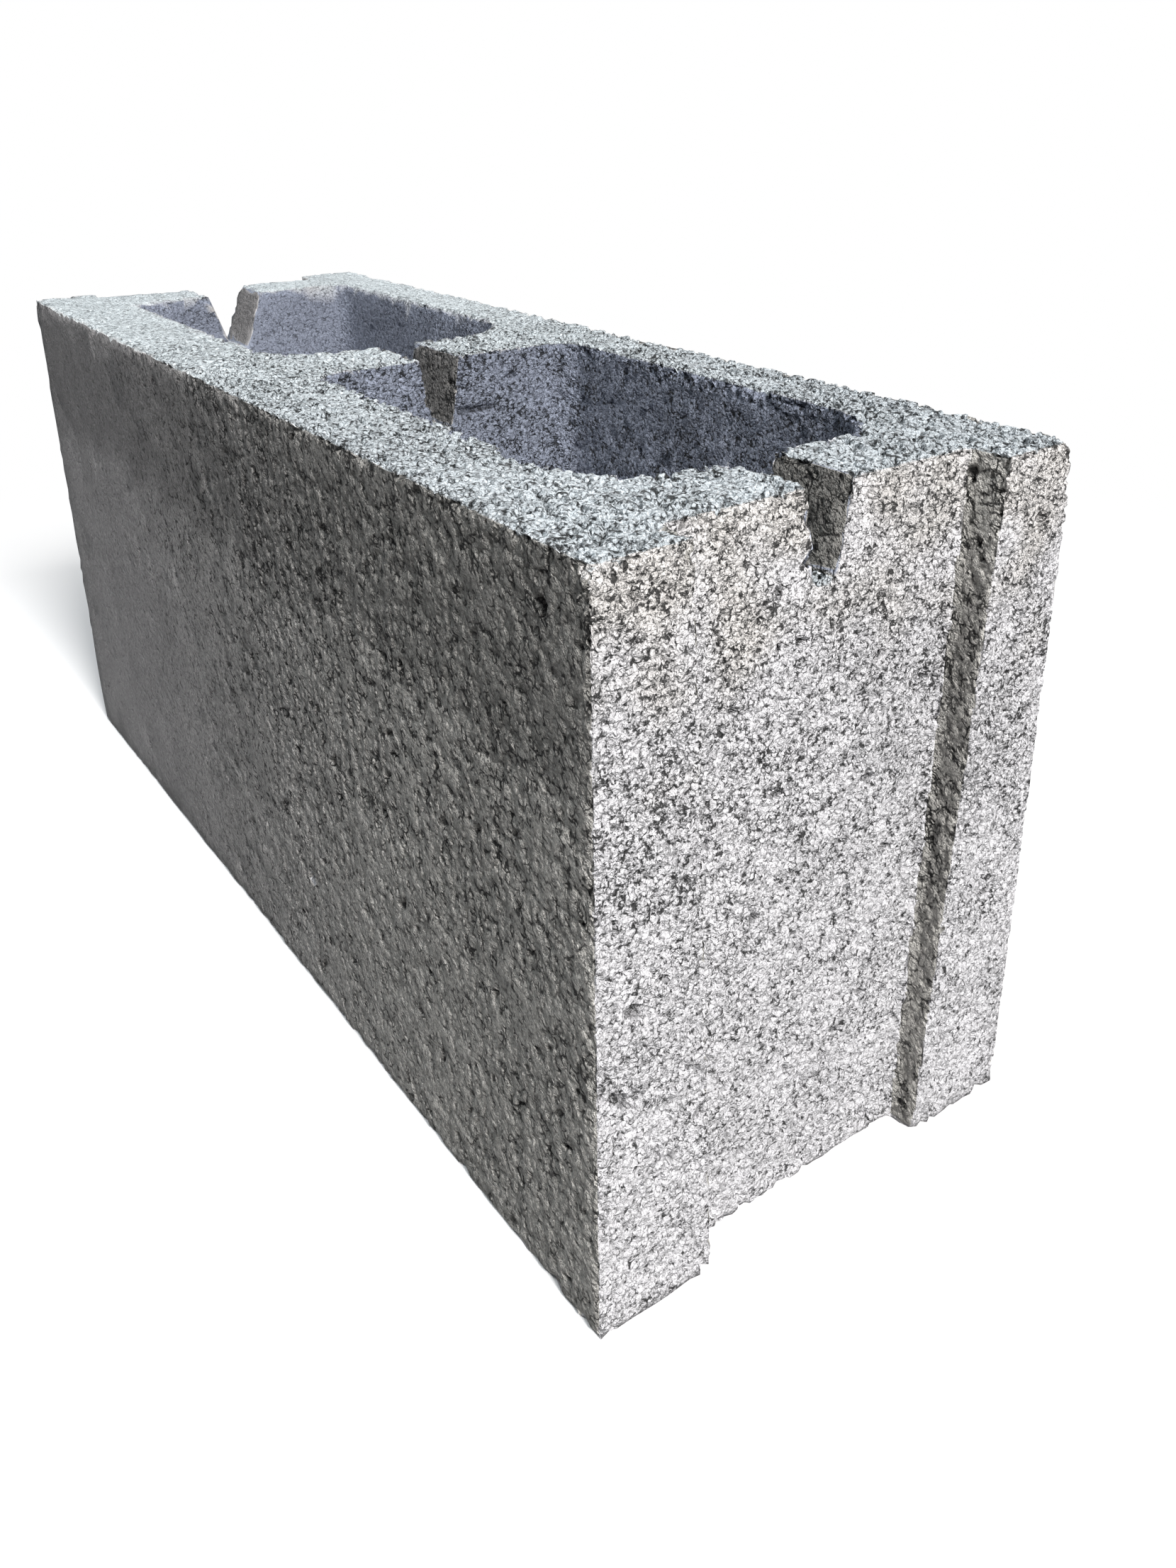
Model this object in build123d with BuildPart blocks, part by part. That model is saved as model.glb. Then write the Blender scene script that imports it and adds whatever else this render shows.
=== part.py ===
"""Hollow concrete block, moulded in one piece.

Two cores run down through it, one after the other along its length, between a
middle web and two end webs. A tapered slot for a reinforcing bar crosses the
tops of the three webs. Each end is recessed between two upright flanges, which
are the ends of the face shells. Cores and recesses are drafted, so the concrete
is thinnest at the top, where the mould comes away.

Millimetres, +Z up, X along the length, Y across the wall. The origin is on the
bed, below the middle of the block.
"""

import os

from build123d import *

# Whole block
block_length = 390.0
block_width = 140.0
block_height = 190.0

# Cores, measured at the top, where they are widest
core_length = 144.0
core_width = 89.0
core_offset = 4.0
core_front_radius = 24.0
core_back_radius = 8.0
core_draft = 1.2
middle_web = 30.0

# Recess in each end, wider and deeper at the top than at the bed
recess_top_width = 91.0
recess_top_depth = 11.0
recess_bed_width = 71.0
recess_bed_depth = 8.0
recess_corner_radius = 3.0

# Bar slot, narrowing to a rounded floor
slot_top_width = 13.5
slot_floor_width = 6.0
slot_depth = 23.5
slot_floor_radius = 2.5
slot_offset = 0.7

# How far a recess's cut runs past the end of the block
overrun = 10.0

half_length = block_length / 2
core_middle = (middle_web + core_length) / 2

with BuildPart() as block:
    # Body, as a plain block
    with BuildSketch():
        Rectangle(block_length, block_width)
    extrude(amount=block_height)

    # End recesses, each lofted from its outline at the bed to that at the top
    for end, inner in ((1, 0), (-1, -1)):
        for level, width, depth in (
            (0, recess_bed_width, recess_bed_depth),
            (block_height, recess_top_width, recess_top_depth),
        ):
            with BuildSketch(Plane.XY.offset(level)):
                with Locations((end * (half_length + (overrun - depth) / 2), 0)):
                    recess = Rectangle(depth + overrun, width)
                fillet(recess.vertices().group_by(Axis.X)[inner], recess_corner_radius)
        loft(ruled=True, mode=Mode.SUBTRACT)

    # Cores, the same shape twice, narrowing towards the bed
    for middle in (core_middle, -core_middle):
        with BuildSketch(Plane.XY.offset(block_height)) as core:
            with Locations((middle, core_offset)):
                Rectangle(core_length, core_width)
            fillet(core.vertices().group_by(Axis.X)[-1], core_front_radius)
            fillet(core.vertices().group_by(Axis.X)[0], core_back_radius)
        extrude(amount=-block_height, taper=core_draft, mode=Mode.SUBTRACT)

    # Bar slot, one run through the tops of the three webs
    with BuildSketch(Plane.YZ.offset(-half_length)) as slot:
        with BuildLine():
            Polyline(
                (slot_offset - slot_top_width / 2, block_height),
                (slot_offset - slot_floor_width / 2, block_height - slot_depth),
                (slot_offset + slot_floor_width / 2, block_height - slot_depth),
                (slot_offset + slot_top_width / 2, block_height),
                close=True,
            )
        make_face()
        fillet(slot.vertices().group_by(Axis.Y)[0], slot_floor_radius)
    extrude(amount=block_length, mode=Mode.SUBTRACT)

block.part.label = "block"
os.makedirs("parts", exist_ok=True)
export_step(block.part, "parts/block.step")
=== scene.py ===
"""Looks of the hollow concrete block: its worn, open-textured skin and its concrete."""

from itertools import product

import bpy
import numpy as np
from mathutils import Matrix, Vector


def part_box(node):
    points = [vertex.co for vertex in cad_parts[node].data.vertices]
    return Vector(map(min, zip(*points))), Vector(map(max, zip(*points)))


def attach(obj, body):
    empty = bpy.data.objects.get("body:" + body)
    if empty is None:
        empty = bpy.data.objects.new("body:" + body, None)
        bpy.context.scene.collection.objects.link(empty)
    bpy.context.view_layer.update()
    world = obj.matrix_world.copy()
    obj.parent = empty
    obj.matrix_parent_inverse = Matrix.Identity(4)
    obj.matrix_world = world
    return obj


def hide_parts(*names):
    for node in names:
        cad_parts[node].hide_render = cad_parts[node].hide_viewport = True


MM = 0.001

# Camera, fitted to the block's edges in the photo
CAMERA_PLACE = (0.3634, -0.1879, 0.2654)
CAMERA_TURN_DEGREES = (68.29, 0.5, 54.13)
CAMERA_LENS_MM = 29.0
CAMERA_SHIFT = (-0.009, -0.119)

# Skin: the fine mesh that the relief is worked into, and what is kept of it
FINE_MESH = 0.78 * MM
FAR_TRIANGLES = 325_000
KEPT_TRIANGLES = 196_000
LARGEST_FLAT_FACE = 1.5 * MM**2

# Crumbs, pits and worn edges
CRUMB_SIZE = 2.3 * MM
DEEPEST_CRUMB = 2.6 * MM
PIT_SPACING = 5 * MM
PIT_DEPTH = 2.2 * MM
WEAR_ROUNDS = 26
BREAK_SHOWS = 0.4 * MM

# Which part of the block a point belongs to
CORE_OFFSET = 4 * MM
CORE_HALF_WIDTH = 47 * MM
END_WEB = 25 * MM
SLOT_HALF_WIDTH = 9 * MM
SLOT_REACH = 27 * MM
NEAR_HALF = 20 * MM

# A ledge on the middle web's face, below the slot's side
WEB_FACE = 15 * MM
LEDGE_HEIGHT = 171.5 * MM
LEDGE_DEPTH = 2.2 * MM
LEDGE_HALF_HEIGHT = 1.3 * MM

# Breaks seen in the photo: place, way it faces, depth and radius, in millimetres
CHIPS = (
    ((195, -70, 190), (0.6, -0.6, 0.45), 4, 11),
    ((195, 70, 190), (0.5, 0.6, 0.6), 4, 12),
    ((186, -6, 190), (0.5, 0.5, 0.7), 3.5, 10),
    ((128, -40, 190), (0, 0.7, 0.7), 4, 10),
    ((195, -35.5, 0), (0.3, 0.6, -0.7), 3, 8),
    ((186, -54, 178), (1, 0, 0.2), 2, 4),
    ((46, -70, 44), (0, -1, 0), 3.5, 2.6),
)

# The far end's bar slot, worn wider than the others
FAR_SLOT_MIDDLE = 0.7 * MM
FAR_SLOT_DEPTH = 24 * MM
FAR_SLOT_WEAR = 4.2 * MM

# Paints, near and far along the block
END_PAINT, END_PAINT_UP = (0.59, 0.585, 0.6, 1), (0.6, 0.58, 0.56, 1)
# The top: a bluish grey, kept darker than the end's partly as painted shade of its open grain, and lighter
# far off as a painted sky reflection
TOP_TINT_AND_SHADE, TOP_FAR_TINT_AND_SKY_REFLECTION = (0.47, 0.51, 0.535, 1), (0.57, 0.62, 0.64, 1)
# The long sides: a warm grey, kept darker than the end's partly as painted shade, and darker still towards
# the far end
SIDE_TINT_AND_SHADE, SIDE_TINT_AND_SHADE_FAR = (0.41, 0.4, 0.375, 1), (0.325, 0.315, 0.315, 1)
# The cores' walls: a dark blue-grey that is painted shade and painted bluish sky light, not the concrete's
# own colour
CORE_SHADE_PAINT = (0.235, 0.26, 0.325, 1)

WHITE = (1, 1, 1, 1)


def random_at(cell, seed):
    """Three even random numbers, from 0 to 1, for each whole-number cell."""
    whole = cell.astype(np.int64).astype(np.uint32)
    key = whole[:, 0] * np.uint32(73856093)
    key ^= whole[:, 1] * np.uint32(19349663)
    key ^= whole[:, 2] * np.uint32(83492791)
    key ^= np.uint32(seed * 668265263 % 2**32)
    numbers = []
    for _ in range(3):
        key = (key ^ (key >> np.uint32(15))) * np.uint32(2246822519)
        key = (key ^ (key >> np.uint32(13))) * np.uint32(3266489917)
        numbers.append(key / 2**32)
    return np.stack(numbers, 1)


def noise(points, size, seed):
    """Smooth noise from -1 to 1, whose swells are about that size."""
    scaled = points / size
    cell = np.floor(scaled)
    part = scaled - cell
    part = part * part * (3 - 2 * part)
    total = np.zeros(len(points))
    for corner in product((0, 1), repeat=3):
        share = np.where(corner, part, 1 - part).prod(1)
        total += share * random_at(cell + corner, seed)[:, 0]
    return 2 * total - 1


def grains(points, size, seed):
    """Distance to the middle of the nearest grain, in grain sizes, and that grain's own number."""
    scaled = points / size
    cell = np.floor(scaled)
    nearest = np.full(len(points), 9.0)
    number = np.zeros(len(points))
    for step in product((-1, 0, 1), repeat=3):
        draw = random_at(cell + step, seed)
        away = np.linalg.norm(cell + step + draw - scaled, axis=1)
        closer = away < nearest
        nearest[closer] = away[closer]
        number[closer] = draw[closer, 0] * 7919 % 1
    return nearest, number


def ramp(values, low, high):
    """0 below low, 1 above high and smooth between."""
    part = np.clip((values - low) / (high - low), 0, 1)
    return part * part * (3 - 2 * part)


def applied(obj):
    """The object's mesh with its modifiers applied."""
    bpy.context.view_layer.update()
    graph = bpy.context.evaluated_depsgraph_get()
    return bpy.data.meshes.new_from_object(obj.evaluated_get(graph))


def fine_copy(source, size):
    """The node's shape again, as an even mesh of small faces."""
    copy = bpy.data.objects.new("fine_copy", source.data.copy())
    bpy.context.collection.objects.link(copy)
    remesh = copy.modifiers.new("even", "REMESH")
    remesh.mode = "VOXEL"
    remesh.voxel_size = size
    mesh = applied(copy)
    bpy.data.objects.remove(copy)
    return mesh


def vertex_array(mesh, what):
    """Each vertex's place or normal, as rows of an array."""
    values = np.empty(len(mesh.vertices) * 3, np.float32)
    mesh.vertices.foreach_get(what, values)
    return values.reshape(-1, 3).astype(float)


def smoothed(points, mesh, rounds):
    """The points after rounds of moving half way to the mean of their neighbours."""
    ends = np.empty(len(mesh.edges) * 2, np.int32)
    mesh.edges.foreach_get("vertices", ends)
    first, second = ends.reshape(-1, 2).T
    count = np.bincount(ends, minlength=len(points))
    for _ in range(rounds):
        mean = [
            np.bincount(first, points[second, axis], len(points))
            + np.bincount(second, points[first, axis], len(points))
            for axis in range(3)
        ]
        points = (points + np.stack(mean, 1) / count[:, None]) / 2
    return points


def relief(points, drag, top, inside):
    """How far the surface lies below the mould's face, and each point's crumb number."""
    warp = np.stack([noise(points, 2.5 * MM, seed) for seed in (1, 2, 3)], 1) * MM
    depth = 0.25 * MM * noise(points, 24 * MM, 4) + 0.3 * MM * noise(points, 7 * MM, 5)

    # Crumbs, drawn out upwards where the mould dragged them, bold on the top and faint on the +Y face
    dragged = points * np.where(drag[:, None] > 0.5, (1, 1, 0.7), (1, 1, 1))
    away, number = grains(dragged + 0.6 * warp, CRUMB_SIZE, 6)
    size = 1.0 - 0.4 * drag + 1.1 * top
    depth += size * MM * (1.0 * (number - 0.4) + 1.5 * (away**2 - 0.2))
    faint = 0.7 * ramp(points[:, 1], 60 * MM, 68 * MM) * (1 - top)
    depth = np.clip(depth, 0, DEEPEST_CRUMB) * (1 - faint)

    # Pits, in the cells with the highest numbers
    from_pit, which = grains(points + 1.8 * warp, PIT_SPACING, 7)
    fewest = 0.7 - 0.02 * drag
    radius = 0.08 + 0.34 * ramp(which, fewest, 1)
    depth += PIT_DEPTH * ramp(which, fewest - 0.05, fewest + 0.1) * ramp(radius - from_pit, 0, 0.2)

    calm = (0.25 + 0.75 * ramp(points[:, 0], -80 * MM, 20 * MM)) * (1 - 0.5 * inside)
    return depth * calm, number


def edge_wear(points, mesh, normals, number, inner, top_height):
    """How far each point is worn back: nothing on flat faces, most on the crumbs of the top edges."""
    upper = ramp(points[:, 2], top_height - 30 * MM, top_height - 4 * MM)
    rounded = smoothed(points, mesh, WEAR_ROUNDS)
    edge = np.maximum(((points - rounded) * normals).sum(1), 0)
    crumble = noise(points, 12 * MM, 20) * 0.7 + noise(points, 3.5 * MM, 21) * 0.7 + 2.0 * (number - 0.4)
    worn = edge * (0.12 + (0.55 + 1.5 * upper) * np.maximum(crumble, 0))
    worn += edge * 1.2 * upper * inner * (points[:, 0] > NEAR_HALF) * np.maximum(crumble, 0)
    worn *= 1 - 0.6 * ramp(points[:, 1], 55 * MM, 65 * MM) * (1 - upper)
    return worn


def ledge(points, normals):
    """The groove that leaves a ledge across part of the middle web's near face."""
    web = (np.abs(points[:, 0] - WEB_FACE) < 4 * MM) * ramp(points[:, 1], 5 * MM, 8 * MM)
    web = web * (1 - ramp(points[:, 1], 16 * MM, 24 * MM)) * (normals[:, 0] > 0.5)
    off = (points[:, 2] - LEDGE_HEIGHT - noise(points, 6 * MM, 30) * MM) / LEDGE_HALF_HEIGHT
    return LEDGE_DEPTH * web * np.exp(-(off**2))


def chipped(points, corner, facing, depth, radius):
    """Cuts back what stands past a rough, hollow break around a corner or a point on an edge."""
    facing = np.array(Vector(facing).normalized())
    offset = points - np.array(corner)
    reach = np.linalg.norm(offset, axis=1) / radius
    rough = 1.5 * MM * noise(points, 4 * MM, 11) + 0.9 * MM * noise(points, 2 * MM, 12)
    past = offset @ facing + (depth + rough) * (1 - reach**2)
    return points - np.maximum(past, 0)[:, None] * facing * (reach < 1)[:, None]


def widened(points, top_height):
    """The far end's bar slot, opened out towards its top."""
    across = points[:, 1] - FAR_SLOT_MIDDLE
    up = np.clip((points[:, 2] - top_height + FAR_SLOT_DEPTH) / FAR_SLOT_DEPTH, 0, 1)
    share = up * (1 - ramp(np.abs(across), 8.5 * MM, 17 * MM))
    share = share * (1 - ramp(points[:, 0], -158 * MM, -150 * MM))
    points = points.copy()
    points[:, 1] += FAR_SLOT_WEAR * share * np.sign(across)
    return points


def triangle_count(mesh):
    """How many triangles the mesh's faces make."""
    return sum(len(face.vertices) - 2 for face in mesh.polygons)


def thinned(block, spared, kept):
    """Merges the faces that matter least, with the spared points left alone."""
    fewer = block.modifiers.new("fewer", "DECIMATE")
    fewer.ratio = kept / triangle_count(block.data)
    group = block.vertex_groups.new(name="free")
    group.add(np.flatnonzero(~spared).tolist(), 1.0, "REPLACE")
    fewer.vertex_group = group.name
    block.data = applied(block)
    block.modifiers.clear()
    block.vertex_groups.clear()


def worked(mesh):
    """Works the wear, grain and breaks into the mesh, and stores what each point is part of."""
    points = vertex_array(mesh, "co")
    normals = vertex_array(mesh, "normal")
    low, high = (np.array(corner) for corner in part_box("block"))

    # inner is in a core, drag is a face that the mould slid along, and inside is 1 in a core and 2 in a slot
    inner = np.abs(points[:, 0]) < high[0] - END_WEB
    inner &= np.abs(points[:, 1] - CORE_OFFSET) < CORE_HALF_WIDTH
    slot = (np.abs(points[:, 1]) < SLOT_HALF_WIDTH) & (points[:, 2] > high[2] - SLOT_REACH)
    slot &= np.abs(normals[:, 0]) < 0.5
    drag = ((np.abs(normals[:, 1]) > 0.7) & (slot | ~inner)).astype(float)
    top = ramp(normals[:, 2], 0.5, 0.8)
    inside = np.where(slot, 2, inner) * (1 - ramp(normals[:, 2], 0.4, 0.7))

    depth, number = relief(points, drag, top, np.minimum(inside, 1))
    depth += ledge(points, normals)
    worn = edge_wear(points, mesh, normals, number, inner, high[2])
    moved = points - normals * (worn + depth)[:, None]

    whole = moved
    for place, facing, depth_mm, radius_mm in CHIPS:
        moved = chipped(moved, np.array(place) * MM, facing, depth_mm * MM, radius_mm * MM)
    broken = np.linalg.norm(moved - whole, axis=1) > BREAK_SHOWS
    moved = widened(moved, high[2])
    moved = np.clip(moved, low, high)
    mesh.vertices.foreach_set("co", moved.astype(np.float32).ravel())
    for name, values in (
        ("sunk", np.where(broken, 0, depth / MM)),
        ("side", np.where(broken, 0, drag)),
        ("top", top),
        ("inside", inside),
    ):
        attribute = mesh.attributes.new(name, "FLOAT", "POINT")
        attribute.data.foreach_set("value", values.astype(np.float32))
    mesh.update()

    # The first thinning spares what the camera sees from near by
    near = (points[:, 0] > NEAR_HALF) & (inside < 0.5) & (normals[:, 1] < 0.5) & (points[:, 2] > 4 * MM)
    lip = (points[:, 2] > high[2] - 6 * MM) & (points[:, 0] > -10 * MM)
    lip |= (points[:, 2] > high[2] - 28 * MM) & (np.abs(points[:, 0] - WEB_FACE) < 5 * MM)
    return near | lip


def skin(source):
    """The block's surface as it came from the mould, with its grain, pits, worn edges and chips."""
    mesh = fine_copy(source, FINE_MESH)
    spared = worked(mesh)
    block = bpy.data.objects.new("concrete_skin", mesh)
    bpy.context.collection.objects.link(block)
    thinned(block, spared, FAR_TRIANGLES)
    points = vertex_array(block.data, "co")
    top_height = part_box("block")[1][2]
    thinned(block, (points[:, 2] > top_height - 5 * MM) & (points[:, 0] > NEAR_HALF), KEPT_TRIANGLES)

    areas = np.empty(len(block.data.polygons), np.float32)
    block.data.polygons.foreach_get("area", areas)
    block.data.polygons.foreach_set("use_smooth", areas > LARGEST_FLAT_FACE)
    block.data.materials.clear()
    block.data.materials.append(concrete())
    return block


def node(tree, kind, inputs=None, **settings):
    """A new shader node, with its settings, and its inputs linked or set."""
    made = tree.nodes.new("ShaderNode" + kind)
    for name, value in settings.items():
        setattr(made, name, value)
    for name, value in (inputs or {}).items():
        if isinstance(value, bpy.types.NodeSocket):
            tree.links.new(value, made.inputs[name])
        else:
            made.inputs[name].default_value = value
    return made


def maths(tree, operation, *values):
    """The result of one arithmetic step."""
    return node(tree, "Math", dict(enumerate(values)), operation=operation).outputs[0]


def between(tree, value, low, high, at_low=0.0, at_high=1.0):
    """A value that runs smoothly from at_low to at_high as another goes from low to high."""
    inputs = {"Value": value, "From Min": low, "From Max": high, "To Min": at_low, "To Max": at_high}
    return node(tree, "MapRange", inputs, interpolation_type="SMOOTHSTEP").outputs[0]


def product_of(tree, *values):
    """All the values multiplied."""
    total = values[0]
    for value in values[1:]:
        total = maths(tree, "MULTIPLY", total, value)
    return total


def vector(tree, operation, *values, out=0):
    """The result of one step on vectors."""
    return node(tree, "VectorMath", dict(enumerate(values)), operation=operation).outputs[out]


def scaled(tree, value, factor):
    """A vector or colour times a number."""
    return node(tree, "VectorMath", {0: value, "Scale": factor}, operation="SCALE").outputs[0]


def colours(tree, share, first, second):
    """The first colour turning into the second as the share goes from 0 to 1."""
    return node(tree, "Mix", {"Factor": share, 6: first, 7: second}, data_type="RGBA").outputs[2]


def swell(tree, place, scale, detail, roughness=0.5, out=0):
    """A noise texture's value, or its colour."""
    inputs = {"Vector": place, "Scale": scale, "Detail": detail, "Roughness": roughness}
    return node(tree, "TexNoise", inputs).outputs[out]


def crumbs(tree, place, scale):
    """Angular crumbs: each one's slanting face, its distance from the middle and its own number."""
    cells = node(tree, "TexVoronoi", {"Vector": place, "Scale": scale})
    tilt = vector(tree, "SUBTRACT", cells.outputs["Color"], (0.5, 0.5, 0.5))
    offset = vector(tree, "SUBTRACT", place, cells.outputs["Position"])
    slant = vector(tree, "DOT_PRODUCT", tilt, offset, out=1)
    number = node(tree, "SeparateColor", {0: cells.outputs["Color"]}).outputs[1]
    return slant, cells.outputs["Distance"], number


def concrete():
    """Grey concrete of crushed stone and sand, its grain in millimetres."""
    material = bpy.data.materials.new("concrete")
    material.use_nodes = True
    tree = material.node_tree
    surface = tree.nodes["Principled BSDF"]

    place = scaled(tree, node(tree, "TexCoord").outputs["Object"], 1 / MM)
    axes = node(tree, "SeparateXYZ", {0: place}).outputs
    stored_side, top, inside, sunk = (
        node(tree, "Attribute", attribute_name=name).outputs["Fac"]
        for name in ("side", "top", "inside", "sunk")
    )
    side = maths(tree, "GREATER_THAN", stored_side, 0.5)

    # The grain's own place: leaning and drawn out on the long sides, and stirred
    lean = node(tree, "CombineXYZ", {"X": product_of(tree, axes["Z"], side, 0.3)}).outputs[0]
    stretch = {"Factor": side, 4: (1, 1, 1), 5: (0.95, 0.95, 0.8)}
    stretch = node(tree, "Mix", stretch, data_type="VECTOR").outputs[1]
    drawn = vector(tree, "MULTIPLY", vector(tree, "ADD", place, lean), stretch)
    swirl = vector(tree, "SUBTRACT", swell(tree, drawn, 0.9, 1.0, out=1), (0.5, 0.5, 0.5))
    calm = maths(tree, "MULTIPLY_ADD", side, 0.6, top)
    swirl = scaled(tree, swirl, between(tree, calm, 0.0, 1.0, 1.8, 0.45))
    warped = vector(tree, "ADD", drawn, swirl)

    slant, away, number = crumbs(tree, warped, 1.0)
    small_slant, _, small_number = crumbs(tree, warped, 2.4)
    sand = swell(tree, drawn, 2.4, 1.0, 0.7)
    holes = swell(tree, drawn, 0.3, 2.0, 0.7)
    patch = swell(tree, place, 0.06, 0.0)
    open_grain = product_of(
        tree,
        between(tree, patch, 0.35, 0.65, 0.8, 1.1),
        between(tree, axes["Z"], 20.0, 150.0, 0.75, 1.1),
        between(tree, axes["X"], -190.0, 60.0, 0.42, 1.0),
    )

    # Gaps stay open where crumbs meet, and are wider where the mix is open
    reach = maths(tree, "MULTIPLY_ADD", holes, 1.3, away)
    reach = maths(tree, "MULTIPLY_ADD", sand, 0.8, reach)
    reach = maths(tree, "MULTIPLY_ADD", open_grain, 0.35, maths(tree, "ADD", reach, -0.23))
    reach = maths(tree, "MULTIPLY_ADD", side, -0.08, reach)
    gap = between(tree, reach, 1.94, 2.03)
    shade = between(tree, reach, 1.74, 2.0)
    crevice = between(tree, away, 0.45, 0.9)
    # the deep pits, darkened below as painted shade
    hollow = between(tree, sunk, 0.6, 2.0)

    # Torn plates on the long sides, with cracks between them
    plates = node(tree, "TexVoronoi", {"Vector": warped, "Scale": 0.4}, feature="DISTANCE_TO_EDGE")
    from_edge = plates.outputs["Distance"]
    torn = between(tree, swell(tree, drawn, 0.3, 1.0), 0.45, 0.6)
    torn = product_of(tree, torn, side, open_grain)
    crack = maths(tree, "MULTIPLY", between(tree, from_edge, 0.03, 0.1, 1.0, 0.0), torn)
    plate = maths(tree, "MULTIPLY", between(tree, from_edge, 0.0, 0.35), torn)

    # Height, built up from the crumbs' slanting faces
    small_share = between(tree, maths(tree, "MAXIMUM", side, top), 0.0, 1.0, 1.7, 2.4)
    dome = maths(tree, "MULTIPLY", maths(tree, "POWER", away, 2.0), side)
    height = maths(tree, "MULTIPLY", slant, between(tree, top, 0.0, 1.0, 1.6, 2.4))
    for part, share in (
        (small_slant, small_share),
        (crevice, -0.3),
        (dome, -0.6),
        (sand, between(tree, side, 0.0, 1.0, 0.5, 1.6)),
        (plate, 0.6),
    ):
        height = maths(tree, "MULTIPLY_ADD", part, share, height)
    height = maths(tree, "MULTIPLY", height, open_grain)
    height = maths(tree, "MULTIPLY_ADD", shade, -0.4, height)
    # none where the side's grain gives way to the end's, so that no step shows there
    seam = maths(tree, "ABSOLUTE", maths(tree, "MULTIPLY_ADD", stored_side, 2.0, -1.0))
    height = maths(tree, "MULTIPLY", height, seam)
    bump = node(tree, "Bump", {"Strength": 1.0, "Distance": MM, "Height": height})

    # Tone: the crumbs' and sand's tones are the concrete's own; the darkening in crevices, gaps, cracks and
    # deep pits, and by shade, is painted shade
    tone = product_of(
        tree,
        between(tree, number, 0.0, 1.0, 0.86, 1.12),
        between(tree, small_number, 0.0, 1.0, 0.85, 1.14),
        between(tree, swell(tree, place, 0.03, 1.0), 0.3, 0.7, 0.95, 1.07),
        between(tree, sand, 0.35, 0.65, 0.88, 1.1),
        between(tree, crevice, 0.0, 1.0, 1.03, 0.82),
        between(tree, maths(tree, "MULTIPLY", crevice, side), 0.0, 1.0, 1.0, 0.9),
        between(tree, shade, 0.0, 1.0, 1.04, 0.62),
        between(tree, gap, 0.0, 1.0, 1.0, 0.15),
        between(tree, crack, 0.0, 1.0, 1.0, 0.08),
        between(tree, hollow, 0.0, 1.0, 1.05, 0.5),
        # the slots darkened by half: painted shade
        between(tree, inside, 1.0, 2.0, 1.0, 0.5),
    )
    contrast = between(tree, axes["X"], -190.0, 40.0, 0.5, 1.0)
    tone = maths(tree, "MULTIPLY_ADD", maths(tree, "ADD", tone, -0.95), contrast, 0.95)

    # A dark band along the top of the long side
    band = between(tree, maths(tree, "MULTIPLY_ADD", patch, 20.0, axes["Z"]), 140.0, 162.0)
    band = product_of(tree, band, side, maths(tree, "LESS_THAN", axes["Y"], -60.0))
    tone = maths(tree, "MULTIPLY", tone, between(tree, band, 0.0, 1.0, 1.0, 0.68))

    far = between(tree, axes["X"], 160.0, -120.0)
    warm = between(tree, maths(tree, "MULTIPLY_ADD", patch, 90.0, axes["Z"]), 190.0, 240.0)
    # core: the cores, less the slots, where the painted shade goes
    core = maths(tree, "MULTIPLY", inside, between(tree, inside, 1.0, 1.5, 1.0, 0.0))
    paint = colours(tree, warm, END_PAINT, END_PAINT_UP)
    for mask, colour in (
        # the top's paint: partly painted shade near, a painted sky reflection far off
        (top, colours(tree, far, TOP_TINT_AND_SHADE, TOP_FAR_TINT_AND_SKY_REFLECTION)),
        # the long sides' paint, partly painted shade
        (side, colours(tree, far, SIDE_TINT_AND_SHADE, SIDE_TINT_AND_SHADE_FAR)),
        (core, CORE_SHADE_PAINT),
    ):
        paint = colours(tree, mask, paint, colour)
    tree.links.new(scaled(tree, paint, tone), surface.inputs["Base Color"])
    tree.links.new(bump.outputs[0], surface.inputs["Normal"])
    surface.inputs["Roughness"].default_value = 0.8
    surface.inputs["Specular IOR Level"].default_value = 0.4
    return material


def lamp(name, place, size, energy, colour):
    """A square soft lamp, aimed at the block."""
    light = bpy.data.lights.new(name, "AREA")
    light.size, light.energy, light.color = size, energy, colour
    holder = bpy.data.objects.new(name, light)
    holder.location = place
    holder.rotation_euler = (Vector((0, 0, 0.1)) - holder.location).to_track_quat("-Z", "Y").to_euler()
    bpy.context.collection.objects.link(holder)


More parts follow.
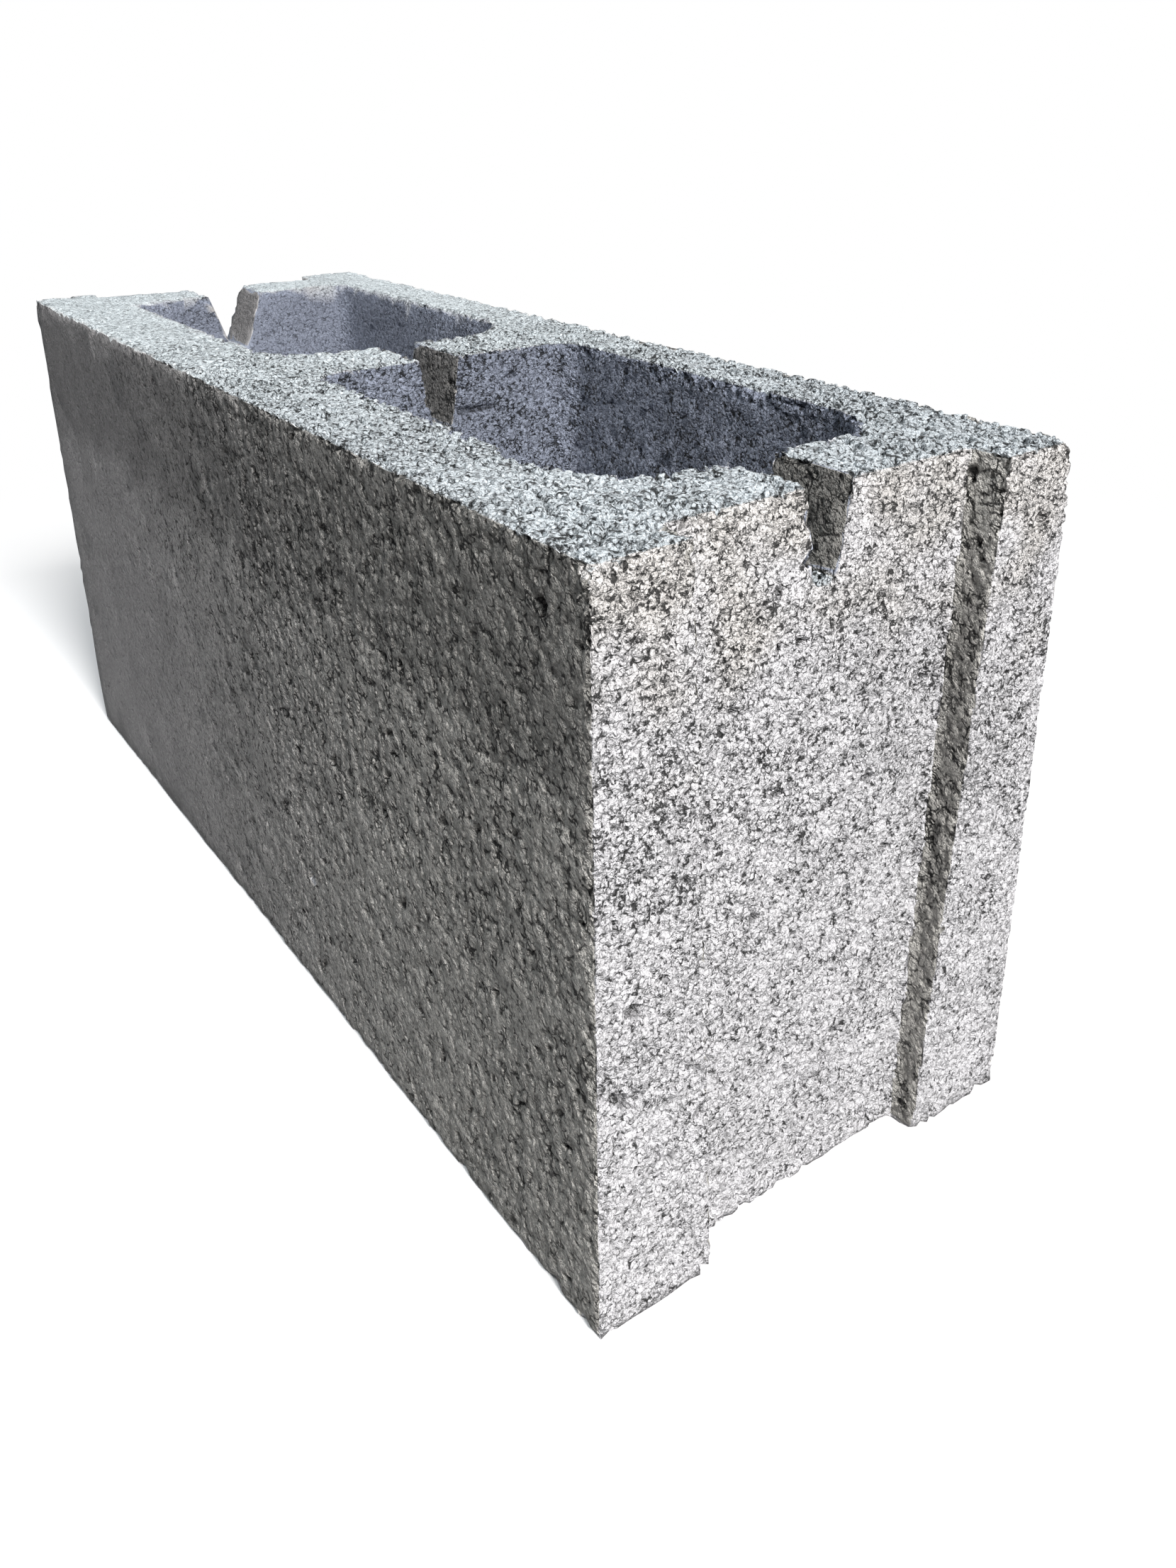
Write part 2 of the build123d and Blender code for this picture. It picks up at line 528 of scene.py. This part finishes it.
def paper():
    """The floor's material: grey to light, pale to the camera and white beyond the block's shadow."""
    material = bpy.data.materials.new("floor")
    material.use_nodes = True
    tree = material.node_tree
    seen = node(tree, "LightPath").outputs["Is Camera Ray"]
    lit = tree.nodes["Principled BSDF"]
    tree.links.new(colours(tree, seen, (0.3, 0.3, 0.3, 1), (0.85, 0.85, 0.85, 1)), lit.inputs["Base Color"])
    lit.inputs["Specular IOR Level"].default_value = 0.0
    place = node(tree, "TexCoord").outputs["Object"]
    away = node(tree, "VectorMath", {0: place}, operation="LENGTH").outputs["Value"]
    white = node(tree, "Emission", {"Color": WHITE, "Strength": 1.0})
    far = maths(tree, "MULTIPLY", between(tree, away, 0.28, 0.62), seen)
    mixed = node(tree, "MixShader", {0: far, 1: lit.outputs[0], 2: white.outputs[0]})
    tree.links.new(mixed.outputs[0], tree.nodes["Material Output"].inputs["Surface"])
    return material


def studio():
    """Floor, lights and surroundings."""
    bpy.ops.mesh.primitive_plane_add(size=12)
    floor = bpy.context.object
    floor.name = "floor"
    floor.data.materials.append(paper())

    lamp("key", (1.85, -0.22, 1.6), 0.5, 96, (1.0, 0.985, 0.975))
    lamp("sky", (-0.45, -0.85, 2.2), 0.6, 24, (0.93, 0.98, 1.0))
    lamp("back", (-1.5, 1.5, 0.45), 0.9, 26, (1.0, 1.0, 1.0))

    world = bpy.data.worlds.new("world")
    world.use_nodes = True
    tree = world.node_tree
    seen = node(tree, "LightPath").outputs["Is Camera Ray"]
    air = colours(tree, seen, (0.05, 0.053, 0.064, 1), WHITE)
    tree.links.new(air, tree.nodes["Background"].inputs["Color"])
    bpy.context.scene.world = world


def add_camera():
    """The camera at the photo's place, angle and frame."""
    data = bpy.data.cameras.new("camera")
    data.lens = CAMERA_LENS_MM
    data.shift_x, data.shift_y = CAMERA_SHIFT
    data.clip_start = 10 * MM
    camera = bpy.data.objects.new("camera", data)
    camera.location = CAMERA_PLACE
    camera.rotation_euler = np.radians(CAMERA_TURN_DEGREES)
    bpy.context.collection.objects.link(camera)
    bpy.context.scene.camera = camera


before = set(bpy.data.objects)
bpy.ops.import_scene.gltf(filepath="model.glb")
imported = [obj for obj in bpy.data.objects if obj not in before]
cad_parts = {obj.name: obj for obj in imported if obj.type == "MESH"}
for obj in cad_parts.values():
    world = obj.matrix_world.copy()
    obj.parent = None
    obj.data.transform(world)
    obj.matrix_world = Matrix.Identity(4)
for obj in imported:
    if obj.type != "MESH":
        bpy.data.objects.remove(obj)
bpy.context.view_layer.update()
add_camera()
studio()
block = skin(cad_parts["block"])
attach(block, "root")
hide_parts("block")
bpy.context.scene.view_settings.view_transform = "Standard"
